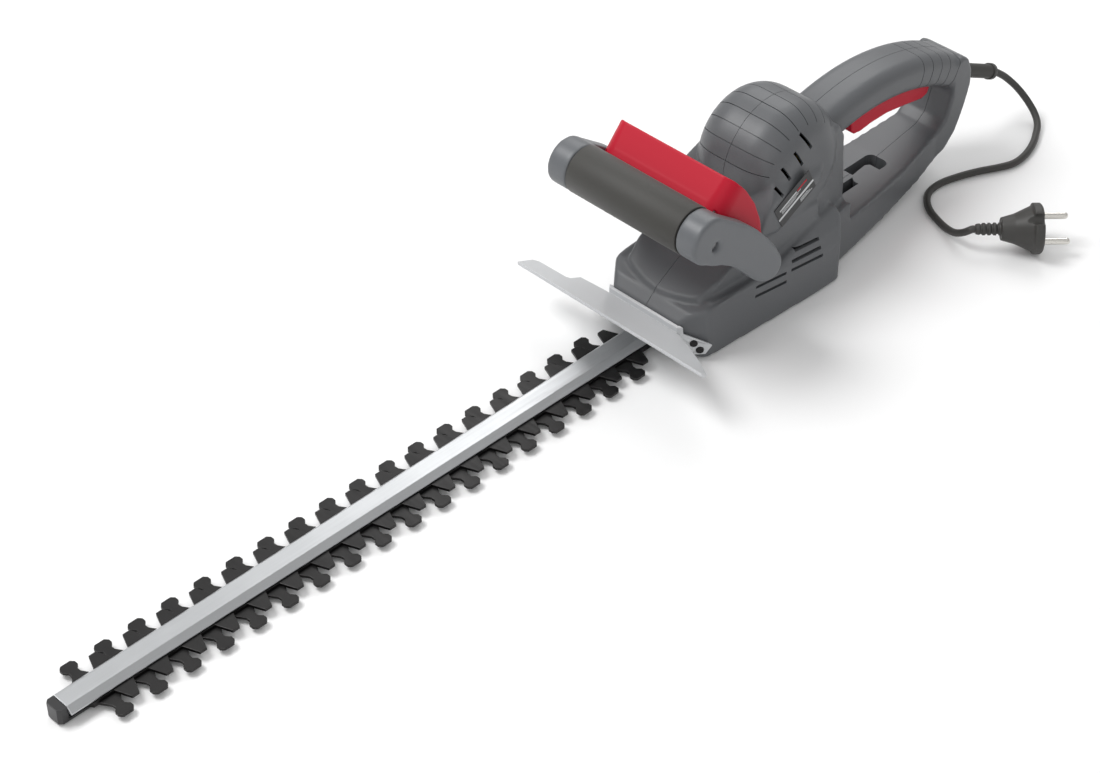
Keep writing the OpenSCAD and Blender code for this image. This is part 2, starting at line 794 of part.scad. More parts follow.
lever_pin_r = 3;
lever_corner_r = 13;
wing_side = [[-59.7, 128.6], [-57.8, 126.9], [-56.5, 119.5], [-48, 106], [-40, 92], [-33, 83.5],
    [-21, 83], [-16.5, 89], [-18.5, 101], [-24.5, 117], [-33, 131], [-41.5, 141.5], [-45, 144.4]];

// Plan of the lever along its lean: a wall with round corners and two wings
module lever_plan() {
    depth = 90;
    difference() {
        translate([0, -depth / 2]) rounded_box2(2 * lever_out_y, depth, lever_corner_r);
        translate([0, -depth / 2]) rounded_box2(2 * (lever_out_y - lever_t), depth - 2 * lever_t, lever_corner_r - lever_t);
        translate([-lever_out_y - 1, -depth - 1]) square([2 * lever_out_y + 2, depth / 3]);
    }
}

module front_lever() {
    color(c_red) {
        intersection() {
            translate([lever_foot[0], 0, lever_foot[1]]) rotate([0, 90 - lever_lean, 0]) rotate([0, 0, 90])
                translate([0, 0, -10]) linear_extrude(60) lever_plan();
            union() {
                side(-60, 60) polygon(wing_side);
                side(-60, 60) translate(lever_foot) rotate(lever_lean) translate([-5, -lever_t])
                    square([12, lever_t]);
            }
        }
        for (s = [0, 1]) mirror([0, s, 0]) pin_y(lever_pivot, lever_pin_r, lever_out_y - 8, lever_out_y + 7);
    }
}

module lever_spring() {
    path = [for (i = [0 : 36]) let (a = 30 * i, r = lever_pin_r + 0.9)
        [lever_pivot[0] + r * cos(a), 45.6 + 4.3 * i / 36, lever_pivot[1] + r * sin(a)]];
    color(c_steel) tube(path, 0.6, 8, [1, 0, 0]);
}

module switch_box(size, button) {
    cube(size);
    translate([size[0] / 2 - 2, size[1] / 2 - 2, button > 0 ? size[2] : -1.5]) cube([4, 4, 1.5]);
}

module lever_switch() {
    color(c_black) translate([-3, 25, 62]) switch_box([12, body_half_w - wall - 25, 14], 1);
}

// ---------- rear handle ----------

trigger_side = [[126, 84], [126.5, 77], [130, 73.5], [137, 72.5], [150, 74], [165, 74], [185, 71],
    [204, 67.5], [210, 69], [214, 78], [216.5, 84], [214, 89], [207, 91], [190, 93], [165, 97],
    [140, 98.5], [123, 99], [121, 94], [125, 92]];

module rear_trigger() {
    color(c_red) difference() {
        side(-trigger_half_w, trigger_half_w) polygon(inward(trigger_side, 0));
        side(-trigger_half_w + 2, trigger_half_w - 2) difference() {
            polygon([[131, 78], [202, 73], [202, 96], [164, 101], [131, 103]]);
            translate([167, 70]) square([3, 26]);
        }
        pin_y(trigger_pivot, trigger_pin_r + running, -20, 20);
    }
}

module trigger_pin() {
    color(c_steel) pin_y(trigger_pivot, trigger_pin_r, -14, 14);
}

spring_at = [145, 0];
spring_z = [77.2, 105];

module trigger_spring() {
    color(c_steel) tube(helix(spring_at, 3.6, spring_z[0] + 0.6, spring_z[1] - 0.6, 6, 12), 0.5, 6, [0, 0, 1]);
}

module main_switch() {
    color(c_black) {
        translate([154, -9, 103]) cube([24, 18, 6]);
        translate([158, -grip_bar_half_w + wall, 102.6]) cube([16, 2 * (grip_bar_half_w - wall), 1.4]);
        translate([166, -2, 101.4]) cube([5, 4, 1.4]);
    }
}

module capacitor() {
    z0 = stack_z + 3 + wall;
    color([0.75, 0.6, 0.2]) post(84, 0, 9, z0, z0 + 24);
}

module terminal_block() {
    color([0.85, 0.85, 0.8]) difference() {
        translate([226, -9, 45]) cube([9, 18, 10]);
        for (i = [-1, 0, 1]) post(231, 6 * i, 1.6, 50, 56);
    }
}

module cord_clamp() {
    color(c_black) difference() {
        translate([bush_from[0] - 11, -8, bush_from[2] - 8]) cube([2, 16, 18]);
        translate(bush_from) rotate([0, 90 + bush_tilt, 0]) translate([0, 0, -30]) cylinder(r = bush_r, h = 60);
    }
}

// ---------- guard ----------

guard_slope = [[-105.5, 40.75], [-105.5, 38], [-66.5, 20.1], [-66.5, 22.85]];
tab_z = 6;
tab_side = [[-90, tab_z - 1], [-57.5, tab_z - 1], [-53.5, 13.5], [-68.5, 24], [-69.3, 40], [-90, 40]];

module blade_guard() {
    color(c_clear) difference() {
        union() {
            intersection() {
                side(-90, 90) polygon(guard_slope);
                translate([0, 0, 10]) linear_extrude(40) polygon([[-105.5, -84], [-102, -85], [-91.4, -69.8], [-84, -56.8], [-78.5, -46.8],
                        [-71.9, -33], [-71.9, 33], [-74.6, 55.5], [-84, 55.5], [-86, 58],
                        [-87, 82], [-90, 85.7], [-105.5, 84.9]]);
            }
            intersection() {
                side(-90, 90) polygon(tab_side);
                translate([0, 0, tab_z]) linear_extrude(nose_z - tab_z) difference() {
                    polygon(inward(anticlockwise([[nose_x, 30], [-53, body_half_w + 4]]), -2.5));
                    polygon(inward(anticlockwise([[nose_x, 30], [-53, body_half_w + 4], [0, 45]]), 0));
                }
            }
        }
        translate([-80, -yoke_half_w + 2, 0]) cube([20, 2 * yoke_half_w - 4, 15]);
        guard_screw_shanks();
        guard_screw_heads();
    }
}

guard_screw_at = [[-63.2, -38.6, 15.6], [-60, -41.3, 9.8]];
module guard_screw_place() {
    for (s = [0, 1], p = guard_screw_at) mirror([0, s, 0]) translate(p) rotate([0, 90, 49.5]) children();
}
module guard_screw_shanks() {
    guard_screw_place() cylinder(r = 1.3, h = 5.8);
}
module guard_screw_heads() {
    guard_screw_place() translate([0, 0, -0.4]) cylinder(r = 2.6, h = 1.6);
}

module guard_screws() {
    color(c_black) {
        guard_screw_shanks();
        guard_screw_heads();
    }
}

// ---------- cord and plug ----------

module cord_bush() {
    color(c_soft) translate(bush_from) rotate([0, 90 + bush_tilt, 0]) {
        translate([0, 0, -12]) cylinder(r = bush_r, h = bush_l + 12);
        translate([0, 0, bush_l - 4]) cylinder(r = bush_r + 0.8, h = 4);
    }
}

module cord() {
    bush_dir = [cos(bush_tilt), 0, -sin(bush_tilt)];
    a = bush_from + bush_l * bush_dir;
    plug_dir = [cos(plug_turn), sin(plug_turn), 0];
    route = smooth_route(concat([a, a + 3 * bush_dir], cord_route_inner(), [plug_at - 2 * plug_dir, plug_at]), 2);
    color(c_soft) tube(route, cord_d / 2, 10, [0, 1, 0]);
}

function cord_route_inner() = [for (i = [1 : len(cord_route) - 1]) cord_route[i]];

module in_plug() {
    translate(plug_at) rotate([0, 90, plug_turn]) rotate(pins_turn) children();
}

module plug_body() {
    z1 = plug_relief_l;
    z2 = z1 + plug_cone_l;
    z3 = z2 + plug_face_l;
    color(c_soft) in_plug() difference() {
        union() {
            rotate_extrude() polygon([[0, 0], [3.6, 0], [4.4, 4], [4.6, z1], [8, z1], [10.5, z1 + 9],
                [plug_r - 2, z2], [plug_r, z2 + 1], [plug_r, z3 - 1.5], [plug_r - 1.5, z3], [0, z3]]);
        }
        for (i = [0 : 3]) ring(0, 0, 8, 3.4, 3 + 3.8 * i, 4.6 + 3.8 * i);
        for (s = [-1, 1]) translate([s * plug_r, 0, z2 - 4]) cylinder(r = 4, h = 20);
        for (s = [-1, 1]) translate([0, s * plug_pin_gap / 2, z3 - 6]) cylinder(r = plug_pin_r - 0.5, h = 10);
    }
}

module plug_pins() {
    z3 = plug_relief_l + plug_cone_l + plug_face_l;
    color([0.8, 0.78, 0.72]) in_plug() for (s = [-1, 1]) translate([0, s * plug_pin_gap / 2, z3]) {
        translate([0, 0, -6]) cylinder(r = plug_pin_r - 0.5, h = 8);
        translate([0, 0, plug_pin_neck]) cylinder(r = plug_pin_r, h = plug_pin_l - plug_pin_r - plug_pin_neck);
        translate([0, 0, plug_pin_l - plug_pin_r]) intersection() {
            sphere(plug_pin_r);
            cylinder(r = plug_pin_r, h = plug_pin_r);
        }
    }
}

// ---------- small pieces ----------

module rating_label() {
    color([0.8, 0.8, 0.82]) side(-body_half_w - 0.35, -body_half_w)
        polygon([[41, 104.3], [12, 86.4], [19, 67.8], [53, 85.6]]);
}

module housing_screws() {
    color(c_steel) for (p = boss_at) {
        pin_y(p, screw_r, -9, screw_seat_y);
        pin_y(p, screw_head_r - 0.2, screw_seat_y, screw_seat_y + 2);
    }
}

housing_left();
housing_right();
base_cover();
gear_case();
blade_guard();
guard_screws();
bar_cover();
support_bar();
bar_end_cap();
blade_upper();
blade_lower();
blade_bolts();
blade_nuts();
drive_gear();
eccentric_upper();
eccentric_lower();
gear_pin();
motor_shaft();
motor_pinion();
armature_core();
armature_winding();
commutator();
cooling_fan();
lower_bearing();
upper_bearing();
stator_core();
field_windings();
brush_holders();
carbon_brushes();
handle_core();
handle_sleeve();
handle_arm_left();
handle_arm_right();
handle_screws();
front_lever();
lever_spring();
lever_switch();
rear_trigger();
trigger_spring();
trigger_pin();
main_switch();
capacitor();
terminal_block();
cord_clamp();
cord_bush();
cord();
plug_body();
plug_pins();
rating_label();
housing_screws();
base_screws();
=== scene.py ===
# Corded hedge trimmer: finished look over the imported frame. Metres, +X to the rear handle, +Z up.
import bpy, json
from math import sin, cos, radians, pi
from mathutils import Vector, Matrix


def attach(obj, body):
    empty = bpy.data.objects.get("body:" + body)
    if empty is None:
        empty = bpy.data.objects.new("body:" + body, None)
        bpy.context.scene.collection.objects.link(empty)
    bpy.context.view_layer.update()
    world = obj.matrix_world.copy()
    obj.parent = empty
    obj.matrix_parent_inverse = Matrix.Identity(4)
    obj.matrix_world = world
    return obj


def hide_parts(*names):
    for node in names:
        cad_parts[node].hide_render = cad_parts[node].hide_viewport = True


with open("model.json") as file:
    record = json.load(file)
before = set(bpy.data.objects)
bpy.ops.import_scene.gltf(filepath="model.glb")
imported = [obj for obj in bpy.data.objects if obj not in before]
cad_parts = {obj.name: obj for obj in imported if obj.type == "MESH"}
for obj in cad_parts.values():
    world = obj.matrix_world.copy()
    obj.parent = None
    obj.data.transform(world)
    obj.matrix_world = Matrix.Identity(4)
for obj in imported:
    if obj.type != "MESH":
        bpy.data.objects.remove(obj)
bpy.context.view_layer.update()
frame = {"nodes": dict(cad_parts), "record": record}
CAD = frame["nodes"]
MM = 0.001
SHELL_WALL = 2.2
CORE_VOXEL = 1.6
SKIN_VOXEL = 1.4


# ---------- camera, light and floor ----------

def make_camera():
    """Three-quarter view from the left of the blade end, looking down."""
    az, el, roll = radians(-44.298), radians(39.881), radians(-0.621)
    forward = Vector((-sin(az) * cos(el), cos(az) * cos(el), -sin(el)))
    right = Vector((cos(az), sin(az), 0.0))
    up = right.cross(forward)
    right2 = right * cos(roll) + up * sin(roll)
    up2 = up * cos(roll) - right * sin(roll)
    turn = Matrix((right2, up2, -forward)).transposed().to_4x4()
    data = bpy.data.cameras.new("view")
    data.lens = 88.59
    data.sensor_width = 36.0
    data.clip_start = 0.05
    data.clip_end = 20.0
    cam = bpy.data.objects.new("view", data)
    cam.matrix_world = Matrix.Translation((-1.10295, -0.96760, 1.14231)) @ turn
    bpy.context.scene.collection.objects.link(cam)
    bpy.context.scene.camera = cam


def soft_light(name, place, target, size, power, tint=(1.0, 1.0, 1.0)):
    data = bpy.data.lights.new(name, "AREA")
    data.shape = "DISK"
    data.size = size
    data.energy = power
    data.color = tint
    lamp = bpy.data.objects.new(name, data)
    lamp.location = place
    aim = Vector(target) - Vector(place)
    lamp.rotation_euler = aim.to_track_quat("-Z", "Y").to_euler()
    bpy.context.scene.collection.objects.link(lamp)


def light_studio():
    mid = (-0.1, 0.0, 0.05)
    soft_light("key", (-0.9, 0.9, 1.9), mid, 1.1, 30.0)
    soft_light("fill", (-1.6, -1.3, 1.3), mid, 1.8, 8.0)
    soft_light("rear", (1.2, 0.9, 1.5), mid, 1.4, 12.0)
    world = bpy.data.worlds.new("room")
    world.use_nodes = True
    back = world.node_tree.nodes["Background"]
    back.inputs["Color"].default_value = (1.0, 1.0, 1.0, 1.0)
    back.inputs["Strength"].default_value = 0.62
    bpy.context.scene.world = world
    bpy.context.scene.view_settings.view_transform = "Standard"


# ---------- materials ----------

def group_node(tree, group, values):
    n = tree.nodes.new("ShaderNodeGroup")
    n.node_tree = group
    for key, val in values.items():
        n.inputs[key].default_value = val
    return n


def new_group(name, inputs, outputs):
    g = bpy.data.node_groups.new(name, "ShaderNodeTree")
    for n, kind, val in inputs:
        s = g.interface.new_socket(name=n, in_out="INPUT", socket_type=kind)
        s.default_value = val
    for n, kind in outputs:
        g.interface.new_socket(name=n, in_out="OUTPUT", socket_type=kind)
    return g, g.nodes.new("NodeGroupInput"), g.nodes.new("NodeGroupOutput")


def make_moulded():
    """Moulded plastic or rubber: fine spark grain, faint cloudy tone, rubbed-paler patches."""
    g, gi, go = new_group("moulded_surface",
        [("Colour", "NodeSocketColor", (0.1, 0.1, 0.1, 1)), ("Rubbed", "NodeSocketColor", (0.2, 0.2, 0.2, 1)),
         ("Grain size", "NodeSocketFloat", 900.0), ("Grain height", "NodeSocketFloat", 0.1),
         ("Roughness", "NodeSocketFloat", 0.5), ("Cloud", "NodeSocketFloat", 0.1)],
        [("Colour", "NodeSocketColor"), ("Roughness", "NodeSocketFloat"), ("Normal", "NodeSocketVector")])
    n, k = g.nodes, g.links
    co = n.new("ShaderNodeTexCoord")
    grain = n.new("ShaderNodeTexNoise")
    grain.inputs["Detail"].default_value = 2.0
    k.new(co.outputs["Object"], grain.inputs["Vector"])
    k.new(gi.outputs["Grain size"], grain.inputs["Scale"])
    cloud = n.new("ShaderNodeTexNoise")
    cloud.inputs["Scale"].default_value = 22.0
    cloud.inputs["Detail"].default_value = 5.0
    k.new(co.outputs["Object"], cloud.inputs["Vector"])
    amount = n.new("ShaderNodeMath")
    amount.operation = "MULTIPLY"
    k.new(cloud.outputs["Fac"], amount.inputs[0])
    k.new(gi.outputs["Cloud"], amount.inputs[1])
    tone = n.new("ShaderNodeMix")
    tone.data_type = "RGBA"
    k.new(amount.outputs[0], tone.inputs["Factor"])
    k.new(gi.outputs["Colour"], tone.inputs["A"])
    k.new(gi.outputs["Rubbed"], tone.inputs["B"])
    k.new(tone.outputs["Result"], go.inputs["Colour"])
    rough = n.new("ShaderNodeMath")
    rough.operation = "MULTIPLY_ADD"
    k.new(cloud.outputs["Fac"], rough.inputs[0])
    rough.inputs[1].default_value = 0.12
    k.new(gi.outputs["Roughness"], rough.inputs[2])
    k.new(rough.outputs[0], go.inputs["Roughness"])
    bump = n.new("ShaderNodeBump")
    bump.inputs["Distance"].default_value = 0.0002
    k.new(gi.outputs["Grain height"], bump.inputs["Strength"])
    k.new(grain.outputs["Fac"], bump.inputs["Height"])
    k.new(bump.outputs["Normal"], go.inputs["Normal"])
    return g


def make_brushed():
    """Metal drawn or ground along one direction, with fine lines and faint stains."""
    g, gi, go = new_group("brushed_surface",
        [("Colour", "NodeSocketColor", (0.6, 0.6, 0.6, 1)), ("Dark", "NodeSocketColor", (0.4, 0.4, 0.4, 1)),
         ("Line direction", "NodeSocketVector", (20.0, 900.0, 900.0)),
         ("Line height", "NodeSocketFloat", 0.1), ("Roughness", "NodeSocketFloat", 0.3)],
        [("Colour", "NodeSocketColor"), ("Roughness", "NodeSocketFloat"), ("Normal", "NodeSocketVector")])
    n, k = g.nodes, g.links
    co = n.new("ShaderNodeTexCoord")
    stretch = n.new("ShaderNodeVectorMath")
    stretch.operation = "MULTIPLY"
    k.new(co.outputs["Object"], stretch.inputs[0])
    k.new(gi.outputs["Line direction"], stretch.inputs[1])
    lines = n.new("ShaderNodeTexNoise")
    lines.inputs["Scale"].default_value = 1.0
    lines.inputs["Detail"].default_value = 3.0
    k.new(stretch.outputs[0], lines.inputs["Vector"])
    stain = n.new("ShaderNodeTexNoise")
    stain.inputs["Scale"].default_value = 60.0
    stain.inputs["Detail"].default_value = 6.0
    k.new(co.outputs["Object"], stain.inputs["Vector"])
    both = n.new("ShaderNodeMath")
    both.operation = "MULTIPLY"
    k.new(lines.outputs["Fac"], both.inputs[0])
    k.new(stain.outputs["Fac"], both.inputs[1])
    tone = n.new("ShaderNodeMix")
    tone.data_type = "RGBA"
    k.new(both.outputs[0], tone.inputs["Factor"])
    k.new(gi.outputs["Colour"], tone.inputs["A"])
    k.new(gi.outputs["Dark"], tone.inputs["B"])
    k.new(tone.outputs["Result"], go.inputs["Colour"])
    rough = n.new("ShaderNodeMath")
    rough.operation = "MULTIPLY_ADD"
    k.new(lines.outputs["Fac"], rough.inputs[0])
    rough.inputs[1].default_value = 0.2
    k.new(gi.outputs["Roughness"], rough.inputs[2])
    k.new(rough.outputs[0], go.inputs["Roughness"])
    bump = n.new("ShaderNodeBump")
    bump.inputs["Distance"].default_value = 0.0002
    k.new(gi.outputs["Line height"], bump.inputs["Strength"])
    k.new(lines.outputs["Fac"], bump.inputs["Height"])
    k.new(bump.outputs["Normal"], go.inputs["Normal"])
    return g


MOULDED = make_moulded()
BRUSHED = make_brushed()


def rgba(c):
    return (c[0], c[1], c[2], 1.0)


def start_material(name):
    m = bpy.data.materials.new(name)
    m.use_nodes = True
    return m, m.node_tree, m.node_tree.nodes["Principled BSDF"]


def plastic(name, colour, rubbed, roughness=0.45, grain=700.0, height=0.12, cloud=0.35, sheen=0.0):
    m, t, p = start_material(name)
    g = group_node(t, MOULDED, {"Colour": rgba(colour), "Rubbed": rgba(rubbed), "Grain size": grain,
        "Grain height": height, "Roughness": roughness - 0.06, "Cloud": cloud})
    t.links.new(g.outputs["Colour"], p.inputs["Base Color"])
    t.links.new(g.outputs["Roughness"], p.inputs["Roughness"])
    t.links.new(g.outputs["Normal"], p.inputs["Normal"])
    p.inputs["Sheen Weight"].default_value = sheen
    return m


def metal(name, colour, dark, roughness=0.3, lines=(20.0, 900.0, 900.0), height=0.1):
    m, t, p = start_material(name)
    g = group_node(t, BRUSHED, {"Colour": rgba(colour), "Dark": rgba(dark), "Line direction": lines,
        "Line height": height, "Roughness": roughness - 0.1})
    t.links.new(g.outputs["Colour"], p.inputs["Base Color"])
    t.links.new(g.outputs["Roughness"], p.inputs["Roughness"])
    t.links.new(g.outputs["Normal"], p.inputs["Normal"])
    p.inputs["Metallic"].default_value = 1.0
    return m


def dull(m, level):
    m.node_tree.nodes["Principled BSDF"].inputs["Specular IOR Level"].default_value = level
    return m


FINISH = {
    "shell_grey": plastic("shell_grey", (0.088, 0.092, 0.098), (0.108, 0.112, 0.118), 0.42, 1100.0, 0.16),
    "handle_grey": plastic("handle_grey", (0.104, 0.110, 0.118), (0.125, 0.131, 0.139), 0.42, 1100.0, 0.14),
    "soft_grip": plastic("soft_grip", (0.026, 0.025, 0.022), (0.05, 0.048, 0.042), 0.6, 1400.0, 0.2, 0.5, 0.1),
    "lever_red": dull(plastic("lever_red", (0.44, 0.001, 0.018), (0.48, 0.004, 0.024), 0.45, 900.0, 0.06), 0.25),
    "guard_clear": plastic("guard_clear", (0.50, 0.51, 0.52), (0.58, 0.59, 0.60), 0.3, 500.0, 0.04),
    "black_plastic": plastic("black_plastic", (0.015, 0.015, 0.016), (0.03, 0.03, 0.031), 0.4, 900.0, 0.12),
    "terminal_white": plastic("terminal_white", (0.7, 0.7, 0.66), (0.78, 0.78, 0.74), 0.4),
    "film_yellow": plastic("film_yellow", (0.6, 0.4, 0.08), (0.66, 0.48, 0.14), 0.3, 500.0, 0.05),
    "cord_rubber": plastic("cord_rubber", (0.026, 0.025, 0.023), (0.05, 0.048, 0.044), 0.5, 1500.0, 0.12, 0.5),
    "label_silver": plastic("label_silver", (0.55, 0.56, 0.57), (0.62, 0.63, 0.64), 0.35, 800.0, 0.03),
    "carbon": plastic("carbon", (0.02, 0.02, 0.022), (0.05, 0.05, 0.05), 0.5),
    "copper_wire": metal("copper_wire", (0.55, 0.17, 0.05), (0.3, 0.08, 0.03), 0.35, (900.0, 900.0, 60.0), 0.5),
    "copper_bars": metal("copper_bars", (0.72, 0.33, 0.16), (0.5, 0.2, 0.1), 0.3, (60.0, 60.0, 900.0)),
    "brass_plate": metal("brass_plate", (0.7, 0.52, 0.2), (0.5, 0.36, 0.12), 0.35),
    "bar_steel": metal("bar_steel", (0.52, 0.53, 0.54), (0.4, 0.41, 0.42), 0.36),
    "plate_steel": metal("plate_steel", (0.5, 0.51, 0.53), (0.36, 0.37, 0.39), 0.4),
    "screw_steel": metal("screw_steel", (0.34, 0.34, 0.35), (0.2, 0.2, 0.21), 0.35, (400.0, 400.0, 400.0)),
    "gear_steel": metal("gear_steel", (0.5, 0.5, 0.51), (0.3, 0.3, 0.3), 0.3, (300.0, 300.0, 900.0)),
    "laminated_steel": metal("laminated_steel", (0.34, 0.34, 0.36), (0.16, 0.16, 0.17), 0.42, (20.0, 20.0, 1800.0), 0.7),
    "cast_alloy": metal("cast_alloy", (0.48, 0.49, 0.5), (0.36, 0.37, 0.38), 0.5, (500.0, 500.0, 500.0), 0.3),
    "blade_black": metal("blade_black", (0.045, 0.044, 0.044), (0.02, 0.02, 0.02), 0.42, (300.0, 40.0, 300.0), 0.15),
    "pin_nickel": metal("pin_nickel", (0.72, 0.7, 0.66), (0.56, 0.54, 0.5), 0.25),
}


def give(obj, name):
    obj.data.materials.clear()
    obj.data.materials.append(FINISH[name])


def finish_cad_nodes():
    """Every carried-over node takes the finish named in its record slot."""
    for row in frame["record"]["subparts"]:
        obj = CAD[row["node"]]
        if not obj.data.materials:
            obj.data.materials.append(FINISH[row["material_slot"]])
        for i in range(len(obj.data.materials)):
            obj.data.materials[i] = FINISH[row["material_slot"]]


# ---------- cord ----------

CORD_ROUTE = [(304, -1, 39.5), (312, -4, 32.5), (319, -10, 23), (322, -18, 14),
    (321, -26, 7.5), (316, -33, 3.8), (306, -39.5, 2.7), (294, -45.7, 2.7), (279, -50.3, 2.7),
    (265, -51, 2.7), (253, -46.5, 2.7), (240, -39.7, 2.7), (225, -33.5, 2.7), (208, -29, 2.7),
    (194, -30, 2.7), (184, -36, 2.7), (176.5, -45, 2.7), (171.5, -56, 2.7), (167, -67, 4),
    (163, -77, 7.5), (161, -85, 12.5), (161.8, -90.5, 17)]
BUSH_FROM = Vector((240, 0, 72))
BUSH_ALONG = Vector((cos(radians(26.57)), 0, -sin(radians(26.57))))
BUSH_END = BUSH_FROM + 63 * BUSH_ALONG
PLUG_AT = Vector((164.6, -93.3, 18))
PLUG_ALONG = Vector((cos(radians(-44.3)), sin(radians(-44.3)), 0))


def smooth_through(points, steps):
    out = []
    last = len(points) - 1
    for i in range(last):
        a, b = points[max(i - 1, 0)], points[i]
        c, d = points[i + 1], points[min(i + 2, last)]
        for k in range(steps):
            t = k / steps
            out.append(0.5 * (2 * b + (c - a) * t + (2 * a - 5 * b + 4 * c - d) * t ** 2
                + (3 * b - a - 3 * c + d) * t ** 3))
    return out + [points[-1]]


def make_cord():
    inner = [Vector(p) for p in CORD_ROUTE]
    route = [BUSH_END, BUSH_END + 3 * BUSH_ALONG] + inner + [PLUG_AT - 2 * PLUG_ALONG, PLUG_AT]
    line = smooth_through(route, 4)
    data = bpy.data.curves.new("cord_sheath", "CURVE")
    data.dimensions = "3D"
    data.bevel_depth = 2.65 * MM
    data.bevel_resolution = 6
    data.use_fill_caps = True
    s = data.splines.new("POLY")
    s.points.add(len(line) - 1)
    for p, q in zip(s.points, line):
        p.co = (q.x * MM, q.y * MM, q.z * MM, 1.0)
    obj = bpy.data.objects.new("cord_sheath", data)
    bpy.context.scene.collection.objects.link(obj)
    data.materials.append(FINISH["cord_rubber"])
    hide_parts("cord")
    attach(obj, "chassis")


# ---------- hand tools ----------

def deselect_all():
    if bpy.context.mode != "OBJECT":
        bpy.ops.object.mode_set(mode="OBJECT")
    bpy.ops.object.select_all(action="DESELECT")


def take(obj):
    deselect_all()
    obj.select_set(True)
    bpy.context.view_layer.objects.active = obj


def settle(obj):
    """Its place goes into its mesh."""
    take(obj)
    bpy.ops.object.transform_apply(location=True, rotation=True, scale=True)
    return obj


def block(name, lo, hi):
    """A box from corner to corner, in millimetres."""
    deselect_all()
    mid = [(a + b) / 2 * MM for a, b in zip(lo, hi)]
    bpy.ops.mesh.primitive_cube_add(size=1.0, location=mid)
    obj = bpy.context.object
    obj.name = name
    obj.scale = [(b - a) * MM for a, b in zip(lo, hi)]
    return settle(obj)


def drum(name, centre, r, half, along, sides=64):
    """A cylinder about a millimetre point; along is the axis it turns about."""
    deselect_all()
    turn = {"x": (0, pi / 2, 0), "y": (pi / 2, 0, 0), "z": (0, 0, 0)}[along]
    bpy.ops.mesh.primitive_cylinder_add(vertices=sides, radius=r * MM, depth=2 * half * MM,
        location=[c * MM for c in centre], rotation=turn)
    obj = bpy.context.object
    obj.name = name
    return settle(obj)


def trim(obj, point, outward):
    """Cuts off what lies beyond a plane and closes the cut."""
    take(obj)
    bpy.ops.object.mode_set(mode="EDIT")
    bpy.ops.mesh.select_all(action="SELECT")
    bpy.ops.mesh.bisect(plane_co=[c * MM for c in point], plane_no=Vector(outward).normalized(),
        use_fill=True, clear_outer=True, threshold=0.000001)
    bpy.ops.object.mode_set(mode="OBJECT")


def trim_outline(obj, points, view):
    """Trims a solid to a convex outline seen from the side, from above or from the end."""
    n = len(points)
    turn = sum(points[i][0] * points[(i + 1) % n][1] - points[(i + 1) % n][0] * points[i][1] for i in range(n))
    s = 1 if turn > 0 else -1
    for i in range(n):
        a, b = points[i], points[(i + 1) % n]
        du, dv = b[0] - a[0], b[1] - a[1]
        nu, nv = dv * s, -du * s
        if view == "side":
            trim(obj, (a[0], 0, a[1]), (nu, 0, nv))
        elif view == "plan":
            trim(obj, (a[0], a[1], 0), (nu, nv, 0))
        else:
            trim(obj, (0, a[0], a[1]), (0, nu, nv))
    return obj


def mirrored(half):
    return list(half) + [(x, -y) for x, y in reversed(half)]


def apply_modifiers(obj):
    take(obj)
    for m in list(obj.modifiers):
        bpy.ops.object.modifier_apply(modifier=m.name)
    return obj


def round_edges(obj, width, segments=3, angle=25.0):
    m = obj.modifiers.new("round", "BEVEL")
    m.width = width * MM
    m.segments = segments
    m.limit_method = "ANGLE"
    m.angle_limit = radians(angle)
    return apply_modifiers(obj)


def combine(obj, other, how):
    """Joins, cuts or keeps the overlap of two solids, and uses the second one up."""
    m = obj.modifiers.new("cut", "BOOLEAN")
    m.operation = how
    m.object = other
    m.solver = "EXACT"
    apply_modifiers(obj)
    bpy.data.objects.remove(other, do_unlink=True)
    return obj


def cut_from(obj, other):
    return combine(obj, other, "DIFFERENCE")


def gather(name, parts):
    """Several loose solids as one object."""
    take(parts[0])
    for p in parts:
        p.select_set(True)
    bpy.ops.object.join()
    bpy.context.object.name = name
    return bpy.context.object


def copy_of(obj, name):
    c = obj.copy()
    c.data = obj.data.copy()
    c.name = name
    bpy.context.scene.collection.objects.link(c)
    return c


def melt(obj, voxel, passes):
    """Melts overlapping solids into one skin and softens where they meet."""
    m = obj.modifiers.new("melt", "REMESH")
    m.mode = "VOXEL"
    m.voxel_size = voxel * MM
    s = obj.modifiers.new("soften", "SMOOTH")
    s.factor = 0.5
    s.iterations = passes
    return apply_modifiers(obj)


def smooth_look(obj, angle=35.0):
    take(obj)
    bpy.ops.object.shade_smooth_by_angle(angle=radians(angle))
    return obj


def hand_over(obj, finish, body, *nodes):
    give(obj, finish)
    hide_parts(*nodes)
    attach(obj, body)
    return obj


def spun(name, centre, profile, from_deg, to_deg, steps):
    """A closed outline, given as (radius, across) points, swung round an axis that runs across the housing."""
    deselect_all()
    a = radians(from_deg)
    cx, cz = centre
    bpy.ops.mesh.primitive_circle_add(vertices=len(profile), radius=0.01, fill_type="NGON")
    obj = bpy.context.object
    obj.name = name
    for v, (r, y) in zip(obj.data.vertices, profile):
        v.co = ((cx + r * sin(a)) * MM, y * MM, (cz + r * cos(a)) * MM)
    take(obj)
    bpy.ops.object.mode_set(mode="EDIT")
    bpy.ops.mesh.select_all(action="SELECT")
    full = abs(to_deg - from_deg) > 359
    bpy.ops.mesh.spin(steps=steps, angle=-radians(to_deg - from_deg), center=(cx * MM, 0, cz * MM), axis=(0, 1, 0),
        use_auto_merge=full)
    bpy.ops.mesh.select_all(action="SELECT")
    bpy.ops.mesh.normals_make_consistent(inside=False)
    bpy.ops.object.mode_set(mode="OBJECT")
    return obj


# ---------- housing shells ----------

